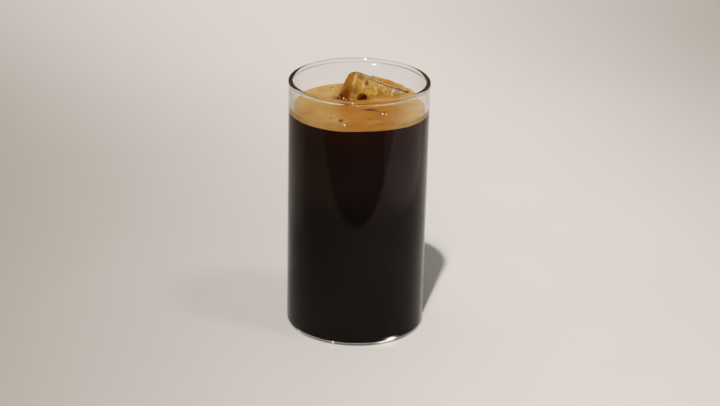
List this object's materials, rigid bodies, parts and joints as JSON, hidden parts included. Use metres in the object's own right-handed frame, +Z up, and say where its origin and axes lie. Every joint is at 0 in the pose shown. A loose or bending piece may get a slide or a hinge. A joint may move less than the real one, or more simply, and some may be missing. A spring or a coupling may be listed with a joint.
{
  "type": "glass of iced americano",
  "caption": "Iced black coffee with a golden crema and a clear ice block standing out of it, in a straight thin-walled clear tumbler",
  "frame": {"origin": "centre of the flat underside of the glass, on the surface that it stands on", "axes": "+Z up along the glass; -Y is the side that faces the viewer, with the ice at the back and to the right, towards +X"},
  "size_m": [0.072, 0.072, 0.1333],
  "materials": {
    "clear_glass": "clear colourless glass, smooth, fire-polished rim",
    "black_coffee": "near-black clear coffee, brown only at its thin edges",
    "golden_crema": "fine golden-brown coffee foam, mottled, with a few open bubbles",
    "clear_ice": "wet clear ice, amber where the crema shows through it"
  },
  "bodies": {
    "root": {"glass": "clear_glass", "coffee": "black_coffee", "crema": "golden_crema", "ice_block": "clear_ice"}
  },
  "joints": []
}
